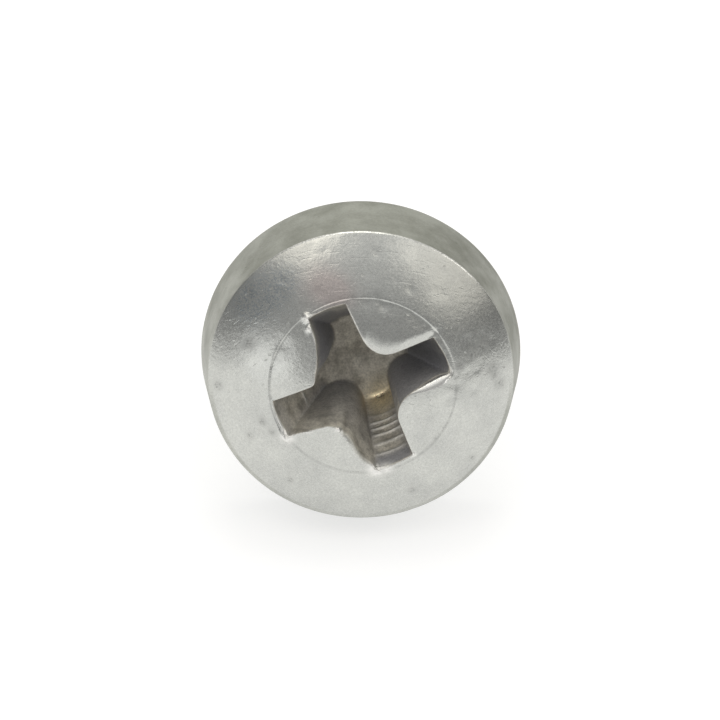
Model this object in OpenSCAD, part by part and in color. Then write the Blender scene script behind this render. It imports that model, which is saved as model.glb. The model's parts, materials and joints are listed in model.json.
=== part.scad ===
// Cross-recessed pan head machine screw, M4 x 6, lying on its side as it rests on a table.
// It is one piece of wire: the head and the recess are pressed cold, and the thread is rolled.

/* [Head] */
// Diameter of the head at the face that seats on the work
head_d = 8; // [7.4:0.1:9]
// Height of the head from that face to the top of the crown
head_h = 2.92; // [2.8:0.02:3.4]
// Radius of the domed crown
crown_r = 7; // [6:0.25:9]
// Draft of the side of the head, in degrees
side_draft = 6.5; // [2:0.5:9]
// Radius on the rim of the crown and on the edge of the seat
edge_r = 0.1; // [0.05:0.01:0.2]
// Diameter of the pressed ring round the recess
ring_d = 4.7; // [4.6:0.1:5.4]
// How far the crown inside that ring lies below the crown outside it
ring_depth = 0.03; // [0.01:0.01:0.08]

/* [Cross recess] */
// Distance across opposite wings at the mouth
recess_d = 4.4; // [3.8:0.1:4.5]
// Depth from the mouth's edge to the foot of the wings
recess_depth = 2.1; // [1.6:0.1:2.2]
// Slope of the ends of the wings from the axis, in degrees
wing_end_slope = 26.5; // [22:0.5:28]
// Angle of the shallow cone at the bottom, in degrees
floor_angle = 140; // [120:5:160]
// Width of a wing at the mouth
wing_w = 0.95; // [0.8:0.05:1.2]
// Taper of each side of a wing with depth, in degrees
wing_taper = 4.5; // [2:0.5:6]
// How much each side of a wing opens towards the middle, in degrees
wing_flare = 2.5; // [0:0.5:5]
// Radius of the corner between two wings
corner_r = 0.65; // [0.4:0.05:0.8]
// Turn of the cross about the screw's axis, in degrees
recess_turn = 22.8; // [0:0.1:90]

/* [Shank] */
// Length from the seat of the head to the end of the screw
shank_l = 6; // [5:0.5:12]
// Radius of the fillet under the head, which ends outside the crests of the thread
fillet_r = 0.28; // [0.2:0.01:0.4]
// Diameter of the plain neck, which is the rolling diameter of the thread
neck_d = 3.54; // [3.4:0.02:3.6]
// Length of the plain neck below the head
neck_l = 0.95; // [0.8:0.05:1.4]
// Length of the chamfer on the end
point_l = 0.45; // [0.4:0.05:0.6]

/* [Thread] */
// Diameter over the crests
thread_d = 4; // [3.9:0.05:4.1]
// Pitch of the thread
pitch = 0.7; // [0.5:0.05:0.8]
// Included angle of the flanks, in degrees
flank_angle = 60; // [55:1:60]
// Flat left on a crest, as a share of the pitch
crest_share = 0.125; // [0.1:0.005:0.16]
// Depth of the thread, as a share of the pitch
depth_share = 0.6134; // [0.5:0.01:0.62]
// Length over which the thread fades out at the neck, in turns
runout_turns = 0.6; // [0.3:0.1:1]

/* [Hidden] */
$fn = 96;
turn_steps = 40; // facets of the thread in one turn
arc_steps = 4;   // facets of a small rounded edge
lift = 0.05;     // how far the thread groove stands out of the crests

head_r = head_d/2;
crown_z = head_h - crown_r;
thread_r = thread_d/2;
neck_r = neck_d/2;
ramp_l = thread_r - neck_r;
thread_end = shank_l - point_l;
thread_depth = pitch*depth_share;
flank_run = tan(flank_angle/2);
point_r = thread_r - thread_depth;

mouth_r = recess_d/2;
mouth_z = crown_z + sqrt(pow(crown_r - ring_depth, 2) - pow(mouth_r, 2));
foot_r = mouth_r - recess_depth*tan(wing_end_slope);
floor_h = foot_r/tan(floor_angle/2);
land_half = 45 + wing_flare;
wing_end_x = sqrt(pow(mouth_r, 2) - pow(wing_w/2, 2));
corner_x = sqrt(2)*(wing_w/2 + wing_end_x*tan(wing_flare))/(1 + tan(wing_flare));
land_tilt = atan(tan(wing_taper)/sin(land_half));
reach = head_h + mouth_r; // how far the shapes that make the recess run past its mouth

// At rest the screw touches the table at two points, the edge of its seat and its last crest.
edge_rise = head_r - edge_r - thread_r;
edge_run = thread_end + edge_r;
lie = atan2(edge_rise, edge_run) + asin(edge_r/norm([edge_rise, edge_run]));
rest_z = (head_r - edge_r)*cos(lie) - edge_r*sin(lie) + edge_r;
front_y = -crown_z*cos(lie) - crown_r;
back_y = shank_l*cos(lie) + point_r*sin(lie);

// Where a drafted wall that starts at radius wall_r meets a crown of radius top_r.
function wall_meets_crown(wall_r, top_r) =
    let (
        t = tan(side_draft),
        b = wall_r*t + crown_z,
        z = (b + sqrt(b*b - (1 + t*t)*(wall_r*wall_r + crown_z*crown_z - top_r*top_r)))/(1 + t*t)
    )
    [wall_r - z*t, z];

function arc(centre, r, from, to) =
    [for (i = [0:arc_steps]) let (a = from + (to - from)*i/arc_steps) centre + r*[cos(a), sin(a)]];

module head_section() {
    rim = wall_meets_crown(head_r - edge_r*(1 - tan(side_draft)), crown_r - edge_r);
    crown_angle = atan2(rim[1] - crown_z, rim[0]);
    rim_arc = arc(rim, edge_r, side_draft, crown_angle);
    seat_arc = arc([head_r - edge_r, edge_r], edge_r, -90, side_draft);
    intersection() {
        polygon(concat([[0, 0]], seat_arc, rim_arc, [[rim_arc[arc_steps][0], head_h], [0, head_h]]));
        translate([0, crown_z]) circle(crown_r);
    }
}

// The crown inside the ring is pressed a little lower by the punch.
module ring_section() {
    difference() {
        square([ring_d/2, head_h]);
        translate([0, crown_z]) circle(crown_r - ring_depth);
    }
}

module shank_section() {
    fillet = arc([neck_r + fillet_r, -fillet_r], fillet_r, 90, 180);
    polygon(concat(
        [[0, fillet_r], [neck_r + fillet_r, fillet_r]],
        fillet,
        [
            [neck_r, -neck_l],
            [thread_r, -neck_l - ramp_l],
            [thread_r, -thread_end],
            [point_r, -shank_l],
            [0, -shank_l]
        ]
    ));
}

module head() {
    rotate_extrude() difference() {
        head_section();
        ring_section();
    }
}

// One of the four lands of metal that stand between the wings of the recess.
module land() {
    flank = [cos(land_half), sin(land_half)];
    tangent = corner_r/tan(land_half)*flank;
    far = reach*flank;
    translate([corner_x, 0, mouth_z]) rotate([0, land_tilt, 0]) translate([0, 0, -reach])
        linear_extrude(2*reach) {
            polygon([tangent, far, [far[0], -far[1]], [tangent[0], -tangent[1]]]);
            translate([corner_r/sin(land_half), 0]) circle(corner_r);
        }
}

module recess() {
    foot_z = mouth_z - recess_depth;
    difference() {
        rotate_extrude() polygon([
            [0, foot_z - floor_h],
            [foot_r, foot_z],
            [foot_r + reach*tan(wing_end_slope), foot_z + reach],
            [0, foot_z + reach]
        ]);
        for (i = [0:3]) rotate(45 + 90*i) land();
    }
}

// The section of the groove between two crests, pushed out by out from its full depth.
function groove_section(out) =
    let (
        root_r = thread_r - thread_depth + out,
        top_r = thread_r + lift + out,
        top_half = pitch*(1 - crest_share)/2 + lift*flank_run,
        root_half = top_half - (top_r - root_r)*flank_run
    )
    [[root_r, -root_half], [top_r, -top_half], [top_r, top_half], [root_r, root_half]];

module thread_groove() {
    // A crest, and not the groove, passes the point where the screw touches the table, and the
    // groove starts clear of the end.
    first_z = -thread_end - 2.5*pitch;
    last_z = -neck_l - ramp_l + pitch/2;
    turns = (last_z - first_z)/pitch;
    steps = ceil(turns*turn_steps);
    runout = runout_turns*turn_steps;
    points = [
        for (i = [0:steps])
            let (
                turn = 360*i/turn_steps - 90,
                out = (thread_depth + lift)*max(0, 1 - (steps - i)/runout)
            )
            for (p = groove_section(out))
                [p[0]*cos(turn), p[0]*sin(turn), p[1] + first_z + pitch*i/turn_steps]
    ];
    sides = [for (i = [0:steps - 1], j = [0:3]) let (k = (j + 1)%4) [4*i + j, 4*i + k, 4*i + 4 + k, 4*i + 4 + j]];
    polyhedron(points, concat([[3, 2, 1, 0]], sides, [[for (j = [0:3]) 4*steps + j]]), convexity = 10);
}

module shank() {
    difference() {
        rotate_extrude() shank_section();
        thread_groove();
    }
}

module screw() {
    color("silver")
        translate([0, -(front_y + back_y)/2, rest_z]) rotate([90 - lie, 0, 0])
            difference() {
                union() {
                    head();
                    shank();
                }
                rotate(recess_turn) recess();
            }
}

screw();
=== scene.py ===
import json
import math
import random

import bpy
import numpy as np
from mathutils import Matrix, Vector, noise


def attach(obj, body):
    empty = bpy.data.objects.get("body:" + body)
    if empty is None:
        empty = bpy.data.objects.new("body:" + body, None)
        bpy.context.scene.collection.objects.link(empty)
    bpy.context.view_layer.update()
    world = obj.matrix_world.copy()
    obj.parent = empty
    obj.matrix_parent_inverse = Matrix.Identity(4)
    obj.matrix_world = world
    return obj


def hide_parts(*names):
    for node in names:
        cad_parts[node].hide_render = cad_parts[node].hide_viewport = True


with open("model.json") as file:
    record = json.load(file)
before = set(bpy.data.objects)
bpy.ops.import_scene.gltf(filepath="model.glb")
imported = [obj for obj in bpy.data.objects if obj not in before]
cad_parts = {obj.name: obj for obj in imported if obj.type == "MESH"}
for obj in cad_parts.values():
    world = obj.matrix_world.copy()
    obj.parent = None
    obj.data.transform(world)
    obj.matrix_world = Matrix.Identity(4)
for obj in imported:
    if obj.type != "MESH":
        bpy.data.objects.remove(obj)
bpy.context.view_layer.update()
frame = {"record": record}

mm = 0.001  # sizes below are in millimetres, and the mesh is written in metres

# The screw's own frame: origin in the middle of the seat, +Z along the axis to the crown, +X as the world's.
mounts = {mount["name"]: mount for mount in frame["record"]["mounts"]}
seatAt = Vector(mounts["seat"]["pos_m"])
axisUp = -Vector(mounts["seat"]["axis"]).normalized()
uphill = axisUp.cross(Vector((1.0, 0.0, 0.0)))
toWorld = np.array([(1.0, 0.0, 0.0), tuple(uphill), tuple(axisUp)])

head = dict(
    radius=4.0,
    height=2.92,
    crownRadius=7.0,
    sideDraft=math.radians(6.5),
    rimRound=0.1,
    seatRound=0.1,
    ringRadius=2.35,
    ringDrop=0.017,
    ringSlope=0.06,  # width of the step between the two levels of the crown
    ringWiden=1.3,  # how much of that width more the step has at the bottom
    ringClear=0.015,  # least gap between the step and the worn edge of the mouth
    ringShift=0.05,  # how far the punch stood off the middle, to the right
)
recess = dict(
    mouthRadius=mounts["driver_recess"]["dims"]["r_mm"],
    depth=mounts["driver_recess"]["dims"]["length_mm"],
    endSlope=math.radians(26.5),
    floorSlope=math.radians(20.0),
    wingWidth=0.95,
    wingTaper=math.radians(4.5),
    wingFlare=math.radians(2.5),
    cornerRadius=0.65,
    turn=math.radians(22.8),
    lipRound=0.03,
    footRound=0.06,
    shiftDepth=1.3,  # how far down the wall a moved edge of the mouth still shows
)
shank = dict(
    length=6.0,
    filletRadius=0.28,
    neckRadius=mounts["plain_neck"]["dims"]["r_mm"],
    neckLength=0.95,
    pointLength=0.45,
    crestRadius=mounts["thread"]["dims"]["r_mm"],
    pitch=0.7,
    crestShare=0.125,
    depthShare=0.6134,
    flankSlope=math.tan(math.radians(30.0)),
    runoutTurns=0.6,
    grooveLift=0.05,  # how far the groove has risen past the crests where it ends
    leastCrest=0.03,  # half the width of the narrowest crest
    edgeSoftness=0.012,
    neckMargin=0.01,  # rows of the thread nearer to its ends than this would leave slivers
    endMargin=0.025,
)
counts = dict(
    endArc=6, flank=17, corner=17,  # columns in half a quadrant
    floor=9, foot=4, wall=66, lip=5, innerCrown=20, ring=5, crown=30,
    rim=7, side=14, seatEdge=6, seat=9, fillet=6, neck=3, end=8,
)

# Columns run round the axis, and the mesh is made of rings of them, from the middle of the
# recess out over the crown, down the side and along the shank to the end.
halfCount = counts["endArc"] + counts["flank"] + counts["corner"]
columnCount = 8 * halfCount
columns = np.arange(columnCount)
quadrant, place = np.divmod(columns, 2 * halfCount)
mirrored = place > halfCount
halfStep = np.where(mirrored, 2 * halfCount - place, place).astype(float)
quadrantTurn = recess["turn"] + (quadrant + 0.5) * math.pi / 2


def crownHeight(radius, drop=0.0):
    centre = head["height"] - head["crownRadius"]
    return centre + np.sqrt((head["crownRadius"] - drop) ** 2 - radius ** 2)


mouthHeight = crownHeight(recess["mouthRadius"], head["ringDrop"])
footHeight = mouthHeight - recess["depth"]
footRadius = recess["mouthRadius"] - recess["depth"] * math.tan(recess["endSlope"])
floorDrop = footRadius * math.tan(recess["floorSlope"])


# Half a quadrant of the recess in plan, from the middle of a wing's end along its flank to the
# middle of the land's corner. +X runs from the axis to that corner.
def halfOutline(depth):
    half = math.pi / 4 + recess["wingFlare"]
    tilt = math.atan(math.tan(recess["wingTaper"]) / math.sin(half))
    stretch = 1 / math.cos(tilt)
    opening = math.tan(recess["wingFlare"])
    endX = math.sqrt(recess["mouthRadius"] ** 2 - (recess["wingWidth"] / 2) ** 2)
    mouthCorner = math.sqrt(2) * (recess["wingWidth"] / 2 + endX * opening) / (1 + opening)
    corner = mouthCorner - depth * math.tan(tilt)
    endRadius = recess["mouthRadius"] - depth * math.tan(recess["endSlope"])
    tangent = recess["cornerRadius"] / math.tan(half)
    touch = np.stack([corner + tangent * math.cos(half) * stretch, 0 * corner - tangent * math.sin(half)], -1)
    along = np.array([math.cos(half) * stretch, -math.sin(half)])
    middle = touch @ along
    inside = middle ** 2 - (along @ along) * ((touch ** 2).sum(-1) - endRadius ** 2)
    tip = touch + ((np.sqrt(inside) - middle) / (along @ along))[:, None] * along

    arcEnd, flankEnd = counts["endArc"], counts["endArc"] + counts["flank"]
    # steps get finer towards the sharp tip, on both sides of it
    arcShare = 1 - (1 - np.clip(halfStep / arcEnd, 0, 1)) ** 1.7
    flankShare = np.clip((halfStep - arcEnd) / counts["flank"], 0, 1) ** 1.35
    cornerShare = np.clip((halfStep - flankEnd) / counts["corner"], 0, 1)
    tipAngle = np.arctan2(tip[:, 1], tip[:, 0])
    arcAngle = -math.pi / 4 + (tipAngle + math.pi / 4) * arcShare
    endPoint = endRadius[:, None] * np.stack([np.cos(arcAngle), np.sin(arcAngle)], -1)
    flankPoint = tip + (touch - tip) * flankShare[:, None]
    turn = 1.5 * math.pi - half - (math.pi / 2 - half) * cornerShare
    cornerPoint = recess["cornerRadius"] * np.stack([np.cos(turn) * stretch, np.sin(turn)], -1)
    cornerPoint[:, 0] += corner + recess["cornerRadius"] / math.sin(half) * stretch
    onArc, onFlank = (halfStep < arcEnd)[:, None], (halfStep < flankEnd)[:, None]
    return np.where(onArc, endPoint, np.where(onFlank, flankPoint, cornerPoint))


# Places along the mouth of the recess. Wing 0 points to the right and the rest follow
# anticlockwise; side 1 is a wing's anticlockwise flank, -1 its clockwise one and 0 both. start
# and end are shares of the way from the wing's tip to the middle of the land's corner, and below
# 0 they lie on the wing's end.
lipWear = [  # width of the worn or rolled edge
    dict(wing=0, side=-1, start=0.0, end=0.36, size=0.21),
    dict(wing=3, side=-1, start=0.1, end=1.0, size=0.14),
    dict(wing=2, side=1, start=0.75, end=1.0, size=0.09),
    dict(wing=1, side=1, start=0.0, end=0.3, size=0.07),
    dict(wing=1, side=1, start=0.6, end=1.0, size=0.08),
    dict(wing=1, side=-1, start=0.0, end=1.0, size=0.06),
    dict(wing=2, side=-1, start=0.8, end=1.0, size=0.08),
    dict(wing=2, side=1, start=-0.5, end=0.0, size=0.07),
]
footWear = [dict(wing=3, side=0, start=-0.5, end=-0.02, size=0.14)]  # round of the foot, burnished there
mouthShifts = [  # how far the edge of the mouth has moved outward
    dict(wing=1, side=1, start=0.42, end=1.0, size=0.16),
    dict(wing=2, side=-1, start=0.75, end=1.0, size=0.13),
    dict(wing=2, side=1, start=0.6, end=1.0, size=0.06),
    dict(wing=3, side=-1, start=0.2, end=1.0, size=0.17),
    dict(wing=0, side=-1, start=-0.5, end=0.0, size=0.05),
]
rolls = [  # how steeply the crown rolls down towards the mouth
    dict(wing=0, side=1, start=0.05, end=1.0, size=0.33),
    dict(wing=1, side=-1, start=0.5, end=1.0, size=0.33),
    dict(wing=2, side=1, start=0.7, end=1.0, size=0.10),
    dict(wing=3, side=-1, start=0.5, end=1.0, size=0.14),
]
polished = [  # where the driver has rubbed the edge bright
    dict(wing=0, side=-1, start=0.0, end=0.4, size=1.0),
    dict(wing=1, side=1, start=0.0, end=0.3, size=0.7),
    dict(wing=2, side=1, start=-0.4, end=0.0, size=0.9),
    dict(wing=3, side=0, start=-0.5, end=0.02, size=0.35),
    dict(wing=1, side=-1, start=0.0, end=0.9, size=0.25),
]
markFade = 6  # a mark fades in and out over about a sixth of that way
shareIn = (halfStep - counts["endArc"]) / (halfCount - counts["endArc"])
lipWing = np.where(mirrored, quadrant + 1, quadrant) % 4
lipSide = np.where(mirrored, -1, 1)


def alongLip(marks, base=0.0):
    values = np.full(columnCount, base)
    for mark in marks:
        mine = (lipWing == mark["wing"]) & ((lipSide == mark["side"]) | (mark["side"] == 0))
        fade = np.clip(markFade * (shareIn - mark["start"]) + 0.4, 0, 1)
        fade *= np.clip(markFade * (mark["end"] - shareIn) + 1, 0, 1)
        values = np.where(mine, np.maximum(values, mark["size"] * fade), values)
    blur = np.array([1, 2, 3, 4, 5, 4, 3, 2, 1]) / 25
    return np.convolve(np.concatenate([values[-4:], values, values[:4]]), blur, "valid")


def trueOutline(depth):
    x, y = halfOutline(np.broadcast_to(np.asarray(depth, float), columns.shape)).T
    y = np.where(mirrored, -y, y)
    c, s = np.cos(quadrantTurn), np.sin(quadrantTurn)
    return np.stack([x * c - y * s, x * s + y * c], -1)


def outwardOf(plan):
    run = np.roll(plan, -1, axis=0) - np.roll(plan, 1, axis=0)
    return np.column_stack([run[:, 1], -run[:, 0]]) / np.hypot(*run.T)[:, None]


mouthPush = outwardOf(trueOutline(0.0)) * alongLip(mouthShifts)[:, None]


# The recess in plan at a depth. What moved the mouth's edge fades out further down the wall.
def outline(depth):
    fade = np.clip(1 - np.asarray(depth, float) / recess["shiftDepth"], 0, 1)
    fade = np.broadcast_to(fade * fade * (3 - 2 * fade), columns.shape)
    return trueOutline(depth) + mouthPush * fade[:, None]


def raised(plan, height):
    return np.column_stack([plan, np.broadcast_to(height, columns.shape)])


def floorHeight(radius):
    return footHeight - floorDrop * (1 - np.minimum(radius, footRadius) / footRadius)


# The depth below the mouth at which each column's wall meets a surface.
def meetingDepth(surface, start):
    depth = np.full(columnCount, start)
    for _ in range(30):
        depth = mouthHeight - surface(np.hypot(*outline(depth).T))
    return depth


def bend(before, corner, after, count):
    shares = np.linspace(0, 1, count)
    return [(1 - t) ** 2 * before + 2 * t * (1 - t) * corner + t ** 2 * after for t in shares]


def recessRings():
    top = meetingDepth(lambda radius: crownHeight(radius, head["ringDrop"]), 0.0)
    bottom = meetingDepth(floorHeight, recess["depth"])
    lip, foot = alongLip(lipWear, recess["lipRound"]), alongLip(footWear, recess["footRound"])
    corner = raised(outline(bottom), mouthHeight - bottom)
    lastPlan = corner[:, :2] * (1 - foot / np.hypot(*corner[:, :2].T))[:, None]
    lastFloor = raised(lastPlan, floorHeight(np.hypot(*lastPlan.T)))
    floor = []
    for share in np.linspace(0.04, 0.95, counts["floor"]):
        plan = lastPlan * share
        floor.append(raised(plan, floorHeight(np.hypot(*plan.T))))
    firstWall = raised(outline(bottom - foot), mouthHeight - bottom + foot)
    wallTop = top + lip
    walls = []
    for share in np.linspace(0, 1, counts["wall"] + 2)[1:-1]:
        depth = bottom - foot + (wallTop - bottom + foot) * share
        walls.append(raised(outline(depth), mouthHeight - depth))
    edge = raised(outline(top), mouthHeight - top)
    below = raised(outline(wallTop), mouthHeight - wallTop)
    beyondPlan = edge[:, :2] + outwardOf(edge[:, :2]) * lip[:, None]
    beyond = raised(beyondPlan, crownHeight(np.hypot(*beyondPlan.T), head["ringDrop"]))
    foots = bend(lastFloor, corner, firstWall, counts["foot"])
    return floor, foots + walls, bend(below, edge, beyond, counts["lip"])


# Angles at which the columns cross a circle: close behind the wings' tips, and even further out.
tipSpan = math.asin(recess["wingWidth"] / 2 / recess["mouthRadius"])
pastTip = np.clip(halfStep - counts["endArc"], 0, None) / (halfCount - counts["endArc"])
spread = tipSpan * np.clip(halfStep / counts["endArc"], 0, 1) + (math.pi / 4 - tipSpan) * pastTip
innerAngles = quadrantTurn + np.where(mirrored, 1, -1) * (math.pi / 4 - spread)
evenAngles = recess["turn"] + columns * 2 * math.pi / columnCount


def circle(radius, height, angles=evenAngles):
    return np.column_stack([radius * np.cos(angles), radius * np.sin(angles), np.full(columnCount, height)])


def crownRings(lastLip, rimRadius):
    plan, shift = lastLip[:, :2], np.array([head["ringShift"], 0.0])
    ringWidth = head["ringSlope"] * (1 + head["ringWiden"] * np.clip(0.3 - np.sin(innerAngles), 0, None))
    clear = np.hypot(*plan.T) + head["ringClear"] - head["ringShift"] * np.cos(innerAngles)
    start = np.maximum(head["ringRadius"] - ringWidth, clear)
    way = np.column_stack([np.cos(innerAngles), np.sin(innerAngles)])
    target = start[:, None] * way + shift
    rings = []
    for share in np.linspace(0, 1, counts["innerCrown"])[1:]:
        point = plan + (target - plan) * share
        rings.append(raised(point, crownHeight(np.hypot(*point.T), head["ringDrop"])))
    for share in np.linspace(0, 1, counts["ring"])[1:]:
        point = (start + (head["ringRadius"] - start) * share)[:, None] * way + shift
        drop = head["ringDrop"] * (1 - share * share * (3 - 2 * share))
        rings.append(raised(point, crownHeight(np.hypot(*point.T), drop)))
    for share in np.linspace(0, 1, counts["crown"])[1:-1]:
        radius = head["ringRadius"] + (rimRadius - head["ringRadius"]) * share
        angles = innerAngles + (evenAngles - innerAngles) * min(1.0, 1.5 * share)
        point = circle(radius, 0.0, angles)[:, :2] + shift * (1 - share)
        rings.append(raised(point, crownHeight(np.hypot(*point.T))))
    return rings


# Middle of the rim's round, which lies at its own radius inside both the side and the crown.
def rimCentre():
    slope, crownZ = math.tan(head["sideDraft"]), head["height"] - head["crownRadius"]
    wall = head["radius"] - head["seatRound"] * (1 - slope)
    wall += (head["seatRound"] - head["rimRound"]) / math.cos(head["sideDraft"])
    top = head["crownRadius"] - head["rimRound"]
    b = wall * slope + crownZ
    z = (b + math.sqrt(b * b - (1 + slope ** 2) * (wall ** 2 + crownZ ** 2 - top ** 2))) / (1 + slope ** 2)
    return wall - z * slope, z, math.atan2(z - crownZ, wall - z * slope)


def arcPoints(x, z, radius, start, end, count):
    return [(x + radius * math.cos(a), z + radius * math.sin(a)) for a in np.linspace(start, end, count)]


def linePoints(start, end, count):
    return [tuple(point) for point in np.linspace(start, end, count + 2)[1:-1]]


def sideProfile():
    x, z, crownAngle = rimCentre()
    draft, seatRound, filletRadius = head["sideDraft"], head["seatRound"], shank["filletRadius"]
    rim = arcPoints(x, z, head["rimRound"], crownAngle, draft, counts["rim"])
    seatX = head["radius"] - seatRound
    seatEdge = arcPoints(seatX, seatRound, seatRound, draft, -math.pi / 2, counts["seatEdge"])
    filletX = shank["neckRadius"] + filletRadius
    fillet = arcPoints(filletX, -filletRadius, filletRadius, math.pi / 2, math.pi, counts["fillet"])
    neckEnd = (shank["neckRadius"], -shank["neckLength"])
    return [
        rim,
        linePoints(rim[-1], seatEdge[0], counts["side"]),
        seatEdge,
        linePoints(seatEdge[-1], fillet[0], counts["seat"]),
        fillet,
        linePoints(fillet[-1], neckEnd, counts["neck"]) + [neckEnd],
    ]


# The turned blank under the thread: plain neck, ramp, crests and chamfered end.
threadDepth = shank["pitch"] * shank["depthShare"]
rootRadius = shank["crestRadius"] - threadDepth
rampLength = shank["crestRadius"] - shank["neckRadius"]
rootHalf = shank["pitch"] * (1 - shank["crestShare"]) / 2 - threadDepth * shank["flankSlope"]
# half a pitch off, so that a crest and not the groove passes the point that touches the table
firstGroove = shank["pointLength"] - shank["length"] - 2.5 * shank["pitch"]
lastGroove = -shank["neckLength"] - rampLength + shank["pitch"] / 2
noRoot = 99.0  # a root this far out cuts nothing


def blankRadius(z):
    ramp = shank["neckRadius"] + np.clip(-z - shank["neckLength"], 0, rampLength)
    pastPoint = np.clip(-z - shank["length"] + shank["pointLength"], 0, None)
    return np.minimum(ramp, shank["crestRadius"] - pastPoint * threadDepth / shank["pointLength"])


def grooveRoot(centre):
    fade = np.clip(1 - (lastGroove - centre) / (shank["runoutTurns"] * shank["pitch"]), 0, 1)
    return np.where(centre > lastGroove, noRoot, rootRadius + (threadDepth + shank["grooveLift"]) * fade)


turnShare = (evenAngles + math.pi / 2) / (2 * math.pi)


def threadedRadius(z):
    near = np.round((z - firstGroove) / shank["pitch"] - turnShare)
    centre = firstGroove + shank["pitch"] * (near + turnShare)
    rise = np.maximum(np.abs(z - centre) - rootHalf, 0) / shank["flankSlope"]
    return np.minimum(blankRadius(z), grooveRoot(centre) + rise)


# How far from the middle of a groove its flank reaches the blank, up or down.
def grooveHalf(centre, way):
    edge = np.full(columnCount, rootHalf)
    for _ in range(6):
        height = blankRadius(centre + way * edge) - grooveRoot(centre)
        edge = np.clip(rootHalf + height * shank["flankSlope"], 0, shank["pitch"] / 2 - shank["leastCrest"])
    return edge


# Rows of the thread follow its helix, from the neck down. Each turn has the same rows, and there
# are a few turns too many at both ends.
def threadRows():
    rows, soft = [], shank["edgeSoftness"]
    topTurn, bottomTurn = 12, -2
    for turn in range(topTurn, bottomTurn - 1, -1):
        centre = firstGroove + shank["pitch"] * (turn + turnShare)
        high, low = grooveHalf(centre, 1), grooveHalf(centre, -1)
        offsets = [
            shank["pitch"] / 2, high + soft, high - soft, (high + rootHalf) / 2, rootHalf, rootHalf / 3,
            -rootHalf / 3, -rootHalf, -(low + rootHalf) / 2, soft - low, -soft - low,
        ]
        rows += [centre + offset for offset in offsets]
    return rows, len(offsets)


print("screw: laying out the rings")
floor, walls, lips = recessRings()
sections = sideProfile()
crown = crownRings(lips[-1], sections[0][0][0])
profile = [circle(radius, height) for section in sections for radius, height in section]
rings = floor + walls + lips + crown + profile

vertices = [np.array([[0, 0, footHeight - floorDrop]])] + rings
ids = [1 + columnCount * ring + columns for ring in range(len(rings))]
faces = []
for column in range(columnCount):
    faces.append([0, int(ids[0][column]), int(ids[0][(column + 1) % columnCount])])
for upper, lower in zip(ids[:-1], ids[1:]):
    faces += np.column_stack([upper, lower, np.roll(lower, -1), np.roll(upper, -1)]).tolist()

# The thread's rows that run past its top or bottom shrink onto the circle there.
topIds = ids[-1]
nextId = 1 + columnCount * len(rings)
bottomIds = nextId + columns
vertices.append(circle(rootRadius, -shank["length"]))
nextId += columnCount
rows, rowsPerTurn = threadRows()
rowIds = []
for z in rows:
    pastEnd = z <= shank["endMargin"] - shank["length"]
    inside = (z < -shank["neckLength"] - shank["neckMargin"]) & ~pastEnd
    row = np.where(pastEnd, bottomIds, topIds)
    row[inside] = nextId + np.arange(inside.sum())
    nextId += inside.sum()
    radius = threadedRadius(z)
    points = np.column_stack([radius * np.cos(evenAngles), radius * np.sin(evenAngles), z])
    vertices.append(points[inside])
    rowIds.append(row)


def rowAt(index):
    return topIds if index < 0 else bottomIds if index >= len(rowIds) else rowIds[index]


for index in range(-1, len(rowIds) + rowsPerTurn):
    upper, lower = rowAt(index), rowAt(index + 1)
    nextUpper, nextLower = np.roll(upper, -1), np.roll(lower, -1)
    nextUpper[-1], nextLower[-1] = rowAt(index - rowsPerTurn)[0], rowAt(index + 1 - rowsPerTurn)[0]
    for quad in np.column_stack([upper, lower, nextLower, nextUpper]).tolist():
        face = [corner for spot, corner in enumerate(quad) if corner != quad[spot - 1]]
        if len(face) > 2:
            faces.append(face)

lastIds = bottomIds
for share in np.linspace(1, 0, counts["end"] + 1)[1:-1]:
    vertices.append(circle(rootRadius * share, -shank["length"]))
    here = nextId + columns
    nextId += columnCount
    faces += np.column_stack([lastIds, here, np.roll(here, -1), np.roll(lastIds, -1)]).tolist()
    lastIds = here
vertices.append(np.array([[0, 0, -shank["length"]]]))
for column in range(columnCount):
    faces.append([int(lastIds[column]), int(nextId), int(lastIds[(column + 1) % columnCount])])

points = np.concatenate(vertices)
print("screw:", len(points), "points and", len(faces), "faces")


def pointNormals(points):
    padded = np.array([face if len(face) == 4 else face + face[-1:] for face in faces])
    corners = points[padded]
    flat = np.cross(corners[:, 2] - corners[:, 0], corners[:, 3] - corners[:, 1])
    total = np.zeros_like(points)
    for spot in range(4):
        np.add.at(total, padded[:, spot], flat)
    return total / np.maximum(np.linalg.norm(total, axis=1), 1e-12)[:, None]


# Masks for the finish and for painted light and shade, one number for each point.
def ringMask(values):
    mask = np.zeros(len(points))
    for ring, value in values:
        mask[ids[ring]] = value
    return mask


lipStart = len(floor) + len(walls)
crownStart = lipStart + len(lips)
rimStart = crownStart + len(crown)
insideValues = [(ring, 1.0) for ring in range(lipStart)]
insideValues += [(lipStart + step, max(0.0, 1 - step / (len(lips) - 1))) for step in range(len(lips))]
insideMask = ringMask(insideValues)
insideMask[0] = 1.0
rimSteps = counts["rim"] - 1
sideMask = np.ones(len(points))
sideMask[:1 + columnCount * rimStart] = 0.0
# Painted light on the rim, and darker marks in the pressed ring.
paintedLightAndWear = dict(
    rimGrime=0.5,  # painted shade on the near half of the rim, where the dull side's colour reaches over it
    rimShine=[(55, 18, 1.0), (104, 26, 0.7)],  # painted highlights: angle and reach in degrees, strength
    ringGrime=0.45,  # darker and rougher in the near half of the pressed ring
)
# Painted shade: the side's darker colour carried over the near half of the rim.
nearRimShade = paintedLightAndWear["rimGrime"] * np.clip(-np.sin(evenAngles) * 4, 0, 1) * np.abs(np.cos(evenAngles)) ** 0.7
for step in range(-1, counts["rim"]):
    sideMask[ids[rimStart + step]] = np.maximum(max(0.0, step / rimSteps), nearRimShade)
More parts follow.
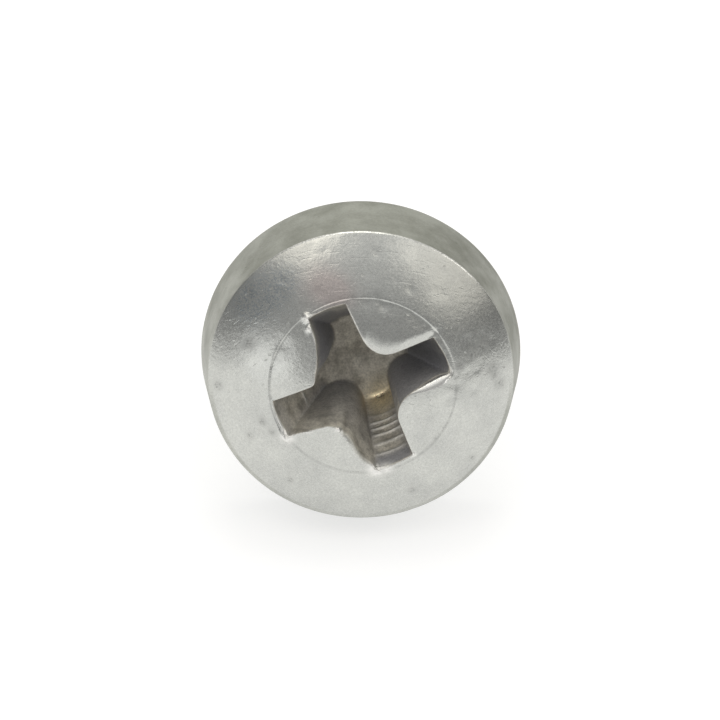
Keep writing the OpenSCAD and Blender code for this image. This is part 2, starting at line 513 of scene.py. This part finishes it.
# A painted highlight: the far part of the rim is painted bright in two stretches, where the
# overhead light falls on it.
turnHere = np.degrees(evenAngles)
rimHighlight = np.zeros(columnCount)
for angle, reach, strength in paintedLightAndWear["rimShine"]:
    rimHighlight += strength * np.exp(-((turnHere - angle) / reach) ** 2)
rimHighlightRows = [(rimStart + step, rimHighlight * math.sin(math.pi * step / rimSteps)) for step in range(counts["rim"])]
rimHighlightMask = ringMask(rimHighlightRows)
wornMask = ringMask([(lipStart + step, alongLip(polished)) for step in range(1, len(lips))])
inRing = paintedLightAndWear["ringGrime"] * np.clip(0.5 - 3 * np.sin(evenAngles), 0, 1)
ringStart = crownStart + counts["innerCrown"]
nearRingMask = ringMask([(ring, inRing) for ring in (ringStart, ringStart + 1)])

# Painted shade on the recess's walls, darkest at their foot, with a darker painted shadow in two
# places. How dark the painted shade is, from the right wing anticlockwise: on the ends of the wings,
# on the lands at the mouth, how fast those darken downwards, and how dark the ends of the near
# wings are close below the mouth.
darkness = dict(
    wingEnd=[0.9, 0.8, 0.1, 0.0],
    landMouth=[0.3, 0.3, 0.0, 0.3],
    steepness=[1.35, 1.35, 0.85, 1.35],
    endMouth=[0.0, 0.0, 0.3, 0.9],
    rightWall=0.5,  # more on the near wall of the right wing
    farSteepness=4,  # the far arms are dark almost up to the mouth
    sootWall=0.3,  # painted shadow on the upper wing's left wall
    sootEnd=0.7,  # painted shadow on the end of the right wing
)
wallStart = len(floor) + counts["foot"]
onEnd = np.clip(1 - halfStep / counts["endArc"], 0, 1)
shade = 1 - onEnd * (1 - np.array(darkness["wingEnd"])[lipWing])
farArms = (lipWing == 1) & (lipSide == 1) | (lipWing == 0) & (shareIn < 0.1)
atMouth = np.array(darkness["landMouth"])[quadrant] + darkness["rightWall"] * (lipWing == 0) * (lipSide == -1)
steepness = np.where(farArms, darkness["farSteepness"], np.array(darkness["steepness"])[quadrant])
endMouth = np.array(darkness["endMouth"])[lipWing] * np.clip(1.6 * onEnd + 0.4, 0, 1)
endMouth *= halfStep < counts["endArc"] + 3
upperWall = (lipWing == 1) * (lipSide == 1) * np.clip(2.5 - 3 * shareIn, 0, 1)
rightEnd = (lipWing == 0) * np.clip(1.3 * onEnd + 0.3 * (lipSide == 1) * (shareIn < 0.3), 0, 1)
# Painted shade, growing towards the floor through the foot's round.
paintedShadeValues = [(len(floor) + step, 0.25 * step * shade) for step in range(counts["foot"])]
paintedShadowValues = []
for step in range(counts["wall"]):
    up = 1 - step / counts["wall"]  # 1 at the foot of the wall and 0 at the mouth
    dark = shade * (atMouth + (1 - atMouth) * np.clip(steepness * up, 0, 1))
    dark = np.maximum(dark, endMouth * np.clip((0.25 - up) / 0.12, 0, 1))
    paintedShadeValues.append((wallStart + step, dark))
    sootWall = darkness["sootWall"] * np.clip(1.4 * (1 - up), 0, 1) * upperWall
    paintedShadowValues.append((wallStart + step, np.maximum(sootWall, darkness["sootEnd"] * rightEnd)))
paintedShadeMask = ringMask(paintedShadeValues)
paintedShadowMask = ringMask(paintedShadowValues)


def near(spot, reach):
    return np.exp(-0.5 * ((points - np.array(spot)) ** 2).sum(1) / reach ** 2)


print("screw: wear")
# Burrs that the driver has pushed up on the lip, by wing, side of it and share of the way in:
# how far each reaches, and how far it stands up and out.
burrs = [
    dict(wing=2, side=1, share=0.0, reach=0.1, lift=0.08, out=0.03),
    dict(wing=2, side=1, share=0.33, reach=0.035, lift=0.05, out=0.0),
    dict(wing=2, side=1, share=0.86, reach=0.04, lift=0.06, out=0.0),
    dict(wing=3, side=-1, share=0.0, reach=0.12, lift=0.0, out=0.03),
    dict(wing=3, side=-1, share=-0.12, reach=0.09, lift=0.0, out=0.03),
    dict(wing=1, side=1, share=0.0, reach=0.06, lift=0.07, out=0.02),
    dict(wing=1, side=1, share=0.18, reach=0.05, lift=0.03, out=0.0),
    dict(wing=3, side=1, share=0.0, reach=0.04, lift=0.01, out=0.0),
]
shape = points.copy()
bareAndHighlightMask = np.zeros(len(points))
for burr in burrs:
    wanted = counts["endArc"] + burr["share"] * (halfCount - counts["endArc"])
    mine = (lipWing == burr["wing"]) & (lipSide == burr["side"])
    column = int(np.argmin(np.where(mine, np.abs(halfStep - wanted), columnCount)))
    spot = points[ids[crownStart - 1][column]]
    weight = near(spot, burr["reach"])
    outward = np.append(spot[:2] / np.hypot(*spot[:2]), 0)
    shape += weight[:, None] * (burr["lift"] * np.array([0, 0, 1]) + burr["out"] * outward)
    bareAndHighlightMask = np.maximum(bareAndHighlightMask, np.clip(1.6 * weight, 0, 1))

# The crown rolls down towards the mouth, and the top of the wall goes with it.
rollWidth = 0.5
rollSlope = alongLip(rolls)
mouthEdge = points[ids[crownStart - 1]]
rolledWall = counts["wall"] // 3
for ring in range(lipStart - rolledWall, rimStart):
    row = ids[ring]
    away = np.hypot(*(points[row] - mouthEdge)[:, :2].T) if ring >= crownStart else 0.0
    fall = rollSlope * rollWidth / 2 * np.clip(1 - away / rollWidth, 0, 1) ** 2
    depth = np.clip(1 - (lipStart - ring) / rolledWall, 0, 1)
    shape[row, 2] -= fall * depth

# Ridges that the punch chattered into the end of the lowest wing, uneven in spacing and height;
# their crests are painted bright, a painted highlight.
ridges = dict(wing=3, spacing=0.23, depth=0.034, top=0.28, bottom=1.7, bare=0.7)
across = np.clip(halfStep / counts["endArc"], 0, 2) * lipSide
endWeight = np.clip(1.3 - 1.3 * across ** 2, 0, 1) * (lipWing == ridges["wing"])
for row in ids[wallStart:lipStart]:
    below = mouthHeight - points[row][:, 2]
    phase = 2 * math.pi * below / ridges["spacing"] + 1.6 * np.sin(5 * below)
    phase += 0.5 * across * np.sin(9 * below)
    crest = (0.5 + 0.5 * np.cos(phase)) ** 3 * (0.85 + 0.15 * np.sin(7 * below + 2 * across))
    fade = np.clip((below - ridges["top"]) / 0.2, 0, 1)
    fade *= np.clip((ridges["bottom"] - below) / 0.3, 0, 1)
    direction = points[row][:, :2] / np.hypot(*points[row][:, :2].T)[:, None]
    shape[row, :2] -= direction * (ridges["depth"] * crest * fade * endWeight)[:, None]
    # painted highlight: the crests get the bright colour
    bareAndHighlightMask[row] = np.maximum(bareAndHighlightMask[row], ridges["bare"] * crest * fade * endWeight)

# A thread-like scratch that a driver left in the end of the left wing.
scratch = dict(
    spots=[
        (-1.46, -0.59, 1.29), (-1.43, -0.66, 1.29), (-1.40, -0.72, 1.29), (-1.37, -0.79, 1.30),
        (-1.34, -0.85, 1.32),
    ],
    reach=0.045,
    height=0.02,
    bare=0.6,
)
for spot in scratch["spots"]:
    weight = near(spot, scratch["reach"])
    shape += scratch["height"] * weight[:, None] * np.array([0.5, 0.2, 0.8])
    bareAndHighlightMask = np.maximum(bareAndHighlightMask, scratch["bare"] * weight)

# Dents and a slight unevenness from tumbling in the plating barrel. All of it lies inward.
dents = dict(
    seed=7,
    onHead=150,
    onShank=60,
    leastRadius=2.2,  # on the head, so that none falls in the recess
    sideRadius=3.75,  # a dent further out lies on the head's side
    headDepth=(0.003, 0.012),
    headReach=(0.04, 0.13),
    shankDepth=(0.004, 0.02),
    shankReach=(0.04, 0.10),
    unevenness=0.005,
)
dice = random.Random(dents["seed"])
normals = pointNormals(shape)
sink = np.zeros(len(points))
for _ in range(dents["onHead"]):
    radius, angle = head["radius"] * math.sqrt(dice.random()), dice.uniform(0, 2 * math.pi)
    radius = max(radius, dents["leastRadius"])
    height = dice.uniform(0.2, 1.7) if radius > dents["sideRadius"] else float(crownHeight(radius))
    spot = (radius * math.cos(angle), radius * math.sin(angle), height)
    sink += dice.uniform(*dents["headDepth"]) * near(spot, dice.uniform(*dents["headReach"]))
for _ in range(dents["onShank"]):
    angle, height = dice.uniform(0, 2 * math.pi), dice.uniform(-shank["length"], 0)
    spot = (shank["crestRadius"] * math.cos(angle), shank["crestRadius"] * math.sin(angle), height)
    sink += dice.uniform(*dents["shankDepth"]) * near(spot, dice.uniform(*dents["shankReach"]))
spots = [Vector(point) for point in points.tolist()]
uneven = np.array([noise.noise(spot * 1.1) + 0.5 * noise.noise(spot * 2.7) for spot in spots])
sink += dents["unevenness"] * (1 + np.clip(0.5 + 0.5 * uneven, 0, 1))
shape -= normals * sink[:, None]

world = shape @ toWorld * mm + np.array(seatAt)
mesh = bpy.data.meshes.new("screw_visual")
mesh.from_pydata(world.tolist(), [], faces)
mesh.validate()
mesh.shade_smooth()
screw = bpy.data.objects.new("screw_visual", mesh)
bpy.context.scene.collection.objects.link(screw)
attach(screw, "root")
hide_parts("screw")

# Spots on the crown: thick passivation that looks blue or pink, and grey scuffs and pits. The
# blue spots are also darker, a painted dark reflection.
crownSpots = dict(
    blue=[(-2.35, 2.3, 0.42), (-2.75, 1.95, 0.35), (-1.85, 2.6, 0.25)],
    pink=[(-0.95, 2.6, 0.34), (-0.55, 2.4, 0.28)],
    scuff=[
        (-2.44, -0.98, 0.07), (-2.20, -1.23, 0.06), (-2.75, -1.44, 0.07), (3.24, 0.34, 0.10),
        (3.44, -0.13, 0.09), (3.30, 0.12, 0.05), (-2.78, 1.05, 0.10), (-3.54, -0.20, 0.09),
        (1.27, -2.90, 0.06), (2.75, -2.1, 0.07), (2.75, 0.75, 0.12), (3.0, 0.9, 0.12),
        (2.45, 0.55, 0.08), (-1.76, -2.63, 0.06),
    ],
)


def spotMask(name):
    marks = [near((x, y, crownHeight(math.hypot(x, y))), reach) for x, y, reach in crownSpots[name]]
    return np.clip(sum(marks), 0, 1)


# A bright warm sliver at the foot of the lowest wing's end, on a glossy round where the punch
# burnished the floor, painted brighter with a light gold colour as a painted highlight, and a
# warm patch above it.
glint = dict(
    angle=recess["turn"] + 1.5 * math.pi + 0.04,
    radius=1.13,
    width=0.07,
    length=0.24,
    patchRadius=1.22,
    patchHeight=0.1,
    patchReach=0.32,
)
offRadius = (np.hypot(*points[:, :2].T) - glint["radius"]) / glint["width"]
angles = np.arctan2(points[:, 1], points[:, 0]) - glint["angle"]
offAngle = np.angle(np.exp(1j * angles)) / glint["length"]
glintMask = np.clip(1.5 * np.exp(-offRadius ** 2 - offAngle ** 2), 0, 1) * insideMask
patchAt = (
    glint["patchRadius"] * math.cos(glint["angle"]),
    glint["patchRadius"] * math.sin(glint["angle"]),
    footHeight + glint["patchHeight"],
)
masks = dict(
    inside=insideMask,
    side=sideMask,
    stain=0.5 * np.clip(points[:, 0] / 2.2 - 0.65, 0, 1),  # painted shade: the side wall darker at the right
    # painted highlight along the far part of the rim
    rim=rimHighlightMask,
    worn=wornMask,
    bare=bareAndHighlightMask,
    # painted shade on the recess's walls
    deep=paintedShadeMask,
    # painted shadow in two places on the recess's walls
    soot=paintedShadowMask,
    # where the glint is: glossy, and painted bright as a highlight
    glint=glintMask,
    warm=near(patchAt, glint["patchReach"]),
    # blue tint, with a painted dark reflection
    blue=spotMask("blue"),
    pink=spotMask("pink"),
    scuff=np.maximum(spotMask("scuff"), nearRingMask),
)
for name, mask in masks.items():
    mesh.attributes.new(name, "FLOAT", "POINT").data.foreach_set("value", mask.astype(np.float32))


def linear(hexColour):
    parts = [int(hexColour[start:start + 2], 16) / 255 for start in (1, 3, 5)]
    return [part / 12.92 if part <= 0.04045 else ((part + 0.055) / 1.055) ** 2.4 for part in parts] + [1.0]


# An input is a value, a socket or a node, which is linked from its first socket.
def addNode(tree, kind, inputs=None, **settings):
    node = tree.nodes.new(kind)
    for name, value in settings.items():
        setattr(node, name, value)
    for name, value in (inputs or {}).items():
        source = value.outputs[0] if isinstance(value, bpy.types.Node) else value
        if isinstance(source, bpy.types.NodeSocket):
            tree.links.new(source, node.inputs[name])
        else:
            node.inputs[name].default_value = value
    return node


add = dict(operation="ADD")
multiply = dict(operation="MULTIPLY")
largest = dict(operation="MAXIMUM")
colours = dict(data_type="RGBA")


# Bright zinc plating on steel, barrel plated and tumbled: a light neutral metal with a satin
# sheen, cloudy where it rubbed, with fine scratches and pits. In the recess the bath left a dull
# brown-grey film, and the side of the head and the shank came out duller and slightly olive.
# On top of that lies painted light: painted shade and shadow in the recess, on the near rim,
# on the right of the side and in the blue spots, and painted highlights on the rim, the ridges'
# crests and a sliver at the foot of the lowest wing.
plating = dict(
    crown="#c8c9c4",
    cloud="#bebfbb",
    side="#a3a49b",
    sideDark="#7a7b70",
    film="#d8d3c6",
    filmDark="#9f9a8f",
    # painted shade in the recess
    deep="#9b9b9f",
    # bare metal, and painted highlights on the rim and the ridges' crests
    bare="#f0efeb",
    # painted highlight of the glint
    gold="#fbe9c4",
    warm="#ead9b0",
    # painted shadow in the recess, darker than the painted shade
    soot="#57575b",
    # the blue spots' tint, darkened as a painted dark reflection
    blue="#8f979c",
    pink="#d0c0bc",
    scuff="#757573",
    # tints with the mask of each in the film, painted shade, painted shadow and a painted highlight
    # among them, and how much of them shows where the mask is full
    filmTints=[("deep", "deep", 1.0), ("soot", "soot", 1.0), ("warm", "warm", 0.85), ("gold", "glint", 1.0)],
    crownTints=[("blue", 0.75), ("pink", 0.55), ("scuff", 0.75)],
    sideCloud=0.55,
    mottle=0.22,  # how much the grain mottles the colour, and how much in the recess
    filmMottle=0.5,
    roughness=0.24,
    sideRoughness=0.42,
    filmRoughness=0.55,
    shinyRoughness=0.26,
    tornRoughness=0.38,  # of burrs and other bare metal
    filmMetal=0.3,
    grainSize=0.05,  # of the plating's crystals, drawn coarser than the real 0.01 mm
    pitSize=0.14,
    cloudSize=0.9,
    dimpleSize=0.14,  # of the unevenness left by the tumbling
    blotchSize=0.33,
    grainDepth=0.0016,
    dimpleDepth=0.0045,
    scratchDepth=0.0012,
    pitDepth=0.003,
    tearDepth=0.03,
    filmDepth=0.006,
    scuffDepth=0.002,
)


def buildPlating():
    material = bpy.data.materials.new("bright_zinc_plated_steel")
    material.use_nodes = True
    tree = material.node_tree
    surface = tree.nodes["Principled BSDF"]
    mask = {name: addNode(tree, "ShaderNodeAttribute", attribute_name=name).outputs["Fac"] for name in masks}
    place = addNode(tree, "ShaderNodeTexCoord").outputs["Object"]
    place = addNode(tree, "ShaderNodeMapping", {"Vector": place, "Scale": (1000, 1000, 1000)})
    mix = "ShaderNodeMix"

    # patterns, with what cuts a band out of each
    scale = {name: 1 / plating[name + "Size"] for name in ("cloud", "grain", "dimple", "blotch", "pit")}
    clouds = {"Vector": place, "Scale": scale["cloud"], "Detail": 4.0, "Roughness": 0.6}
    clouds = addNode(tree, "ShaderNodeTexNoise", clouds)
    clouds = addNode(tree, "ShaderNodeMapRange", {"Value": clouds, "From Min": 0.35, "From Max": 0.65})
    grain = addNode(tree, "ShaderNodeTexNoise", {"Vector": place, "Scale": scale["grain"]})
    dimples = {"Vector": place, "Scale": scale["dimple"], "Detail": 3.0}
    dimples = addNode(tree, "ShaderNodeTexNoise", dimples)
    blotch = {"Vector": place, "Scale": scale["blotch"], "Detail": 3.0}
    blotch = addNode(tree, "ShaderNodeTexNoise", blotch)
    blotch = addNode(tree, "ShaderNodeMapRange", {"Value": blotch, "From Min": 0.4, "From Max": 0.7})
    pits = addNode(tree, "ShaderNodeTexNoise", {"Vector": place, "Scale": scale["pit"], "Detail": 1.0})
    pits = addNode(tree, "ShaderNodeMapRange", {"Value": pits, "From Min": 0.70, "From Max": 0.78})
    streaks = []
    for rotation, stretch in (((0.35, 0.0, 0.6), (1.2, 22.0, 6.0)), ((0.35, 0.3, -0.9), (1.0, 18.0, 5.0))):
        drawn = addNode(tree, "ShaderNodeMapping", {"Vector": place, "Rotation": rotation, "Scale": stretch})
        drawn = addNode(tree, "ShaderNodeTexNoise", {"Vector": drawn, "Scale": 1.0, "Detail": 1.0})
        drawn = addNode(tree, "ShaderNodeMapRange", {"Value": drawn, "From Min": 0.66, "From Max": 0.74})
        streaks.append(drawn)
    scratches = addNode(tree, "ShaderNodeMath", {0: streaks[0], 1: streaks[1]}, **largest)
    strength = {"Value": mask["inside"], "To Min": plating["mottle"], "To Max": plating["filmMottle"]}
    strength = addNode(tree, "ShaderNodeMapRange", strength)
    mottle = {"Value": grain, "From Min": 0.3, "From Max": 0.7, "To Min": 0.6, "To Max": 1.4}
    mottle = addNode(tree, "ShaderNodeMapRange", mottle)
    speckle = addNode(tree, "ShaderNodeMapRange", {"Value": grain, "From Min": 0.4, "From Max": 0.62})

    # colour, in layers from the clean crown and the film to bare metal and painted highlights
    tones = {name: linear(value) for name, value in plating.items() if str(value).startswith("#")}
    layer = addNode(tree, mix, {0: clouds, 6: tones["crown"], 7: tones["cloud"]}, **colours)
    colour = layer.outputs[2]
    layer = addNode(tree, mix, {0: blotch, 6: tones["film"], 7: tones["filmDark"]}, **colours)
    filmColour = layer.outputs[2]
    for name, where, amount in plating["filmTints"]:
        share = addNode(tree, "ShaderNodeMath", {0: mask[where], 1: amount}, **multiply)
        layer = addNode(tree, mix, {0: share, 6: filmColour, 7: tones[name]}, **colours)
        filmColour = layer.outputs[2]
    for name, amount in plating["crownTints"]:
        breakUp = 1.0 if name == "pink" else speckle
        share = addNode(tree, "ShaderNodeMath", {0: mask[name], 1: breakUp}, **multiply)
        share = addNode(tree, "ShaderNodeMath", {0: share, 1: amount}, **multiply)
        layer = addNode(tree, mix, {0: share, 6: colour, 7: tones[name]}, **colours)
        colour = layer.outputs[2]
    # the side's cloudy tone, with painted shade at the right
    cloudAndShade = addNode(tree, "ShaderNodeMath", {0: clouds, 1: plating["sideCloud"]}, **multiply)
    cloudAndShade = addNode(tree, "ShaderNodeMath", {0: cloudAndShade, 1: mask["stain"]}, use_clamp=True, **add)
    sideLayer = addNode(tree, mix, {0: cloudAndShade, 6: tones["side"], 7: tones["sideDark"]}, **colours)
    layer = addNode(tree, mix, {0: mask["side"], 6: colour, 7: sideLayer.outputs[2]}, **colours)
    layer = addNode(tree, mix, {0: mask["inside"], 6: layer.outputs[2], 7: filmColour}, **colours)
    mottled = {0: strength, 6: layer.outputs[2], 7: mottle}
    layer = addNode(tree, mix, mottled, blend_type="MULTIPLY", **colours)
    # painted highlight on the rim, broken up by the grain
    rimHighlight = addNode(tree, "ShaderNodeMath", {0: speckle, 1: 0.5}, **add)
    rimHighlight = addNode(tree, "ShaderNodeMath", {0: mask["rim"], 1: rimHighlight}, **multiply)
    bare = addNode(tree, "ShaderNodeMath", {0: mask["bare"], 1: rimHighlight}, **largest)
    bare = addNode(tree, "ShaderNodeMath", {0: bare, 1: mask["worn"]}, use_clamp=True, **largest)
    layer = addNode(tree, mix, {0: bare, 6: layer.outputs[2], 7: tones["bare"]}, **colours)
    tree.links.new(layer.outputs[2], surface.inputs["Base Color"])

    # roughness
    rough = addNode(tree, mix, {0: mask["side"], 2: plating["roughness"], 3: plating["sideRoughness"]})
    for pattern, amount in ((clouds, 0.08), (grain, 0.15), (pits, 0.12), (mask["scuff"], 0.1)):
        layer = addNode(tree, "ShaderNodeMath", {0: pattern, 1: amount}, **multiply)
        rough = addNode(tree, "ShaderNodeMath", {0: rough, 1: layer}, **add)
    rough = addNode(tree, "ShaderNodeMath", {0: rough, 1: 0.1}, operation="SUBTRACT")
    rough = addNode(tree, mix, {0: mask["inside"], 2: rough, 3: plating["filmRoughness"]})
    shiny = addNode(tree, "ShaderNodeMath", {0: bare, 1: mask["glint"]}, **largest)
    rough = addNode(tree, mix, {0: shiny, 2: rough, 3: plating["shinyRoughness"]})
    rough = addNode(tree, mix, {0: mask["bare"], 2: rough, 3: plating["tornRoughness"]})
    tree.links.new(rough.outputs[0], surface.inputs["Roughness"])
    metallic = addNode(tree, mix, {0: mask["inside"], 2: 1.0, 3: plating["filmMetal"]})
    metallic = addNode(tree, mix, {0: shiny, 2: metallic, 3: 1.0})
    tree.links.new(metallic.outputs[0], surface.inputs["Metallic"])

    # relief in millimetres
    relief = addNode(tree, "ShaderNodeMath", {0: grain, 1: plating["grainDepth"]}, **multiply)
    inFilm = addNode(tree, "ShaderNodeMath", {0: blotch, 1: mask["inside"]}, **multiply)
    for pattern, depth in (
        (dimples, plating["dimpleDepth"]),
        (scratches, -plating["scratchDepth"]),
        (pits, -plating["pitDepth"]),
        (inFilm, plating["filmDepth"]),
        (mask["scuff"], -plating["scuffDepth"]),
    ):
        layer = addNode(tree, "ShaderNodeMath", {0: pattern, 1: depth}, **multiply)
        relief = addNode(tree, "ShaderNodeMath", {0: relief, 1: layer}, **add)
    torn = addNode(tree, "ShaderNodeMath", {0: grain, 1: mask["bare"]}, **multiply)
    torn = addNode(tree, "ShaderNodeMath", {0: torn, 1: plating["tearDepth"]}, **multiply)
    relief = addNode(tree, "ShaderNodeMath", {0: relief, 1: torn}, **add)
    bump = addNode(tree, "ShaderNodeBump", {"Height": relief, "Distance": mm, "Strength": 1.0})
    tree.links.new(bump.outputs[0], surface.inputs["Normal"])
    return material


print("screw: plating")
mesh.materials.append(buildPlating())

studio = dict(
    floorSize=0.5,
    floorRight=0.12,  # how far the paper reaches to the right of the screw
    floorColour="#b6b6b6",
    floorLift=0.67,  # what is added to the floor's white where it is seen
    # the room in reflections: its grey by height at the front, its colour at the top and behind
    # the screw, and how far it dims to both sides and once more to the right
    roomGrey=[(0.0, 0.62), (0.1, 0.5), (0.2, 0.38), (0.45, 0.38), (0.7, 0.55), (0.9, 0.78)],
    roomTop=(0.9, 0.9, 0.87, 1),
    roomBehind=(0.98, 0.98, 0.95, 1),
    roomSides=0.62,
    roomRight=0.84,
    lampDistance=0.4,
    viewDistance=0.15,
    viewTilt=math.radians(20.9),  # between the line of sight and the screw's axis
    lens=302.8,
    sensor=36.0,
    aimHeight=1.8,  # mm above the seat, about where the rim of the head is
    aimUp=0.40,  # mm up and to the left in the picture
    aimLeft=0.02,
)

print("studio: floor, light and camera")
floorAt = (studio["floorRight"] - studio["floorSize"] / 2, 0.0, 0.0)
bpy.ops.mesh.primitive_plane_add(size=studio["floorSize"], location=floorAt)
floorPlane = bpy.context.object
floorPlane.name = "paper_floor"
paper = bpy.data.materials.new("white_seamless_paper")
paper.use_nodes = True
tree = paper.node_tree
tree.nodes.clear()
rays = addNode(tree, "ShaderNodeLightPath").outputs
seen = addNode(tree, "ShaderNodeMath", {0: rays["Is Camera Ray"], 1: rays["Is Glossy Ray"]}, **largest)
seen = addNode(tree, "ShaderNodeMath", {0: seen, 1: rays["Is Transmission Ray"]}, **largest)
lift = addNode(tree, "ShaderNodeMath", {0: seen, 1: studio["floorLift"]}, **multiply)
matt = addNode(tree, "ShaderNodeBsdfDiffuse", {"Color": linear(studio["floorColour"])})
glow = addNode(tree, "ShaderNodeEmission", {"Color": (1, 1, 1, 1), "Strength": lift})
both = addNode(tree, "ShaderNodeAddShader", {0: matt, 1: glow})
addNode(tree, "ShaderNodeOutputMaterial", {"Surface": both})
floorPlane.data.materials.append(paper)

sky = bpy.data.worlds.new("studio_room")
sky.use_nodes = True
tree = sky.node_tree
tree.nodes.clear()
rays = addNode(tree, "ShaderNodeLightPath").outputs
direction = addNode(tree, "ShaderNodeTexCoord").outputs["Generated"]
direction = addNode(tree, "ShaderNodeSeparateXYZ", {0: direction}).outputs
front = addNode(tree, "ShaderNodeValToRGB", {0: direction["Z"]})
stops = front.color_ramp.elements
stops[1].color = studio["roomTop"]
for height, grey in studio["roomGrey"]:
    stop = stops.new(height) if height > 0 else stops[0]
    stop.color = (grey, grey, grey, 1)
away = addNode(tree, "ShaderNodeMapRange", {"Value": direction["Y"], "From Min": 0.2, "From Max": 0.8})
blended = addNode(tree, "ShaderNodeMix", {0: away, 6: front, 7: studio["roomBehind"]}, **colours)
sideways = addNode(tree, "ShaderNodeMath", {0: direction["X"]}, operation="ABSOLUTE")
sideways = {"Value": sideways, "From Min": 0.55, "From Max": 0.95, "To Max": studio["roomSides"]}
sideways = addNode(tree, "ShaderNodeMapRange", {"To Min": 1.0, **sideways})
right = {"Value": direction["X"], "From Min": 0.2, "From Max": 0.7, "To Max": studio["roomRight"]}
right = addNode(tree, "ShaderNodeMapRange", {"To Min": 1.0, **right})
dimmed = addNode(tree, "ShaderNodeMath", {0: sideways, 1: right}, **multiply)
room = addNode(tree, "ShaderNodeBackground", {"Color": blended.outputs[2], "Strength": dimmed})
white = addNode(tree, "ShaderNodeBackground", {"Color": (1, 1, 1, 1), "Strength": 1.0})
shown = addNode(tree, "ShaderNodeMixShader", {0: rays["Is Camera Ray"], 1: room, 2: white})
addNode(tree, "ShaderNodeOutputWorld", {"Surface": shown})
bpy.context.scene.world = sky

# Each lamp is a soft square panel: azimuth from the camera's side round to the right, elevation,
# width in degrees as the screw sees it, and radiance where 1 is the floor's white.
lamps = [
    dict(name="left_window", azimuth=-52, elevation=60, width=26, radiance=1.05, colour="#fff8ec"),
    dict(name="right_window", azimuth=58, elevation=43, width=38, radiance=0.72, colour="#fffaf0"),
    dict(name="overhead_panel", azimuth=180, elevation=70, width=26, radiance=2.4, colour="#fffdf6"),
    dict(name="right_back_strip", azimuth=100, elevation=34, width=18, radiance=1.9, colour="#fffdf6"),
    dict(name="left_low_card", azimuth=-38, elevation=5, width=20, radiance=0.9, colour="#ffffff"),
]
for lamp in lamps:
    azimuth, height = math.radians(lamp["azimuth"]), math.radians(lamp["elevation"])
    level = math.cos(height)
    direction = Vector((math.sin(azimuth) * level, -math.cos(azimuth) * level, math.sin(height)))
    light = bpy.data.lights.new(lamp["name"], "AREA")
    light.shape = "SQUARE"
    light.size = 2 * studio["lampDistance"] * math.tan(math.radians(lamp["width"] / 2))
    light.energy = lamp["radiance"] * math.pi * light.size ** 2
    light.color = linear(lamp["colour"])[:3]
    panel = bpy.data.objects.new(lamp["name"], light)
    panel.location = direction * studio["lampDistance"]
    panel.rotation_mode = "QUATERNION"
    panel.rotation_quaternion = direction.to_track_quat("Z", "Y")
    bpy.context.scene.collection.objects.link(panel)

# The camera looks at the head from above the screw's axis, as in the photograph.
rimMiddle = seatAt + axisUp * studio["aimHeight"] * mm
elevation = math.asin(axisUp.z) + studio["viewTilt"]
towards = Vector((0.0, -math.cos(elevation), math.sin(elevation)))
viewUp = Vector((0.0, math.sin(elevation), math.cos(elevation)))
aim = rimMiddle + viewUp * studio["aimUp"] * mm - Vector((1.0, 0.0, 0.0)) * studio["aimLeft"] * mm
camera = bpy.data.objects.new("camera", bpy.data.cameras.new("camera"))
camera.data.lens = studio["lens"]
camera.data.sensor_width = studio["sensor"]
camera.data.clip_start = 0.01
camera.location = aim + towards * studio["viewDistance"]
camera.rotation_mode = "QUATERNION"
camera.rotation_quaternion = towards.to_track_quat("Z", "Y")
bpy.context.scene.collection.objects.link(camera)
bpy.context.scene.camera = camera
bpy.context.scene.view_settings.view_transform = "Standard"
